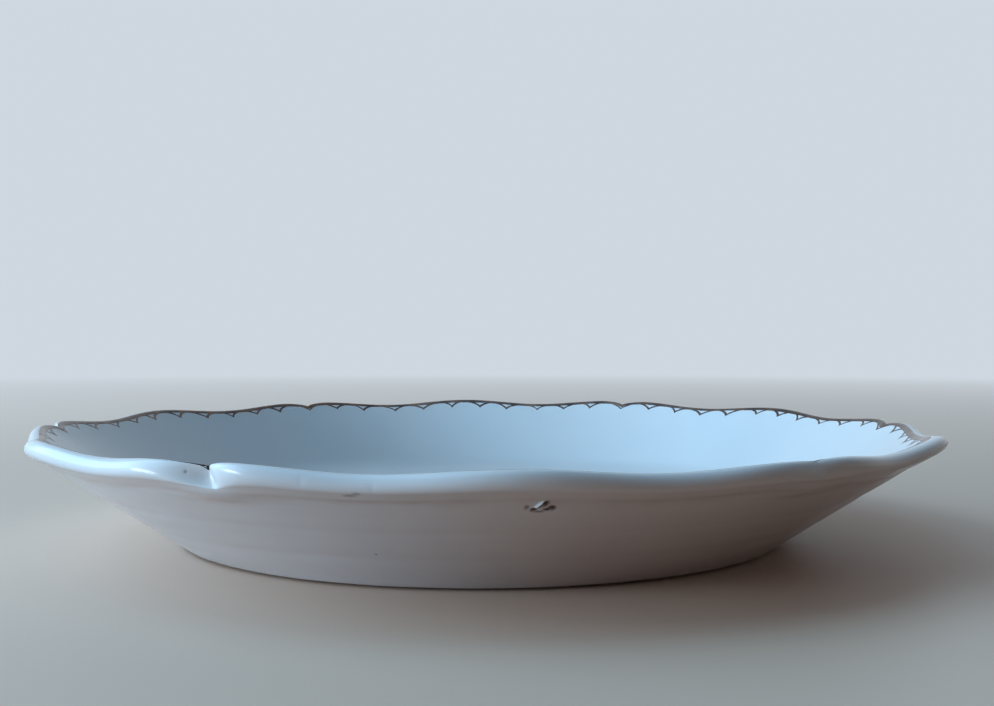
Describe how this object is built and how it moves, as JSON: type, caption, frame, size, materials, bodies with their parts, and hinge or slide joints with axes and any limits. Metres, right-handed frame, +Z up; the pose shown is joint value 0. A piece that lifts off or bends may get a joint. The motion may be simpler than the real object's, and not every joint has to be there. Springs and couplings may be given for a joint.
{
  "type": "decorative plate",
  "caption": "Round deep serving plate of white glazed ware with a flaring wall, a lobed and nicked rim, a gilt edge line and a gilt scalloped border.",
  "frame": {"origin": "on the plate's axis, in the plane that the foot ring stands on", "axes": "+Z up along the axis, -Y towards the crown of one lobe, +X towards the nick between two lobes"},
  "size_m": [0.2842, 0.2852, 0.0361],
  "materials": {
    "biscuit_clay": "fired clay, matt, hidden under the glaze",
    "bare_clay": "fired clay, ground flat and left bare",
    "white_glaze": "cool white glossy glaze",
    "aged_gilt": "burnished gilding, browned and worn with age"
  },
  "bodies": {
    "root": {"biscuit_body": "biscuit_clay", "foot_ring": "bare_clay", "glaze_coat": "white_glaze", "base_glaze": "white_glaze", "gilt_edge_line": "aged_gilt", "gilt_scallop_strip_01": "aged_gilt", "gilt_scallop_strip_02": "aged_gilt", "gilt_scallop_strip_03": "aged_gilt", "gilt_scallop_strip_04": "aged_gilt", "gilt_scallop_strip_05": "aged_gilt", "gilt_scallop_strip_06": "aged_gilt", "gilt_scallop_strip_07": "aged_gilt", "gilt_scallop_strip_08": "aged_gilt", "gilt_scallop_strip_09": "aged_gilt", "gilt_scallop_strip_10": "aged_gilt", "gilt_scallop_strip_11": "aged_gilt", "gilt_scallop_strip_12": "aged_gilt"}
  },
  "joints": []
}
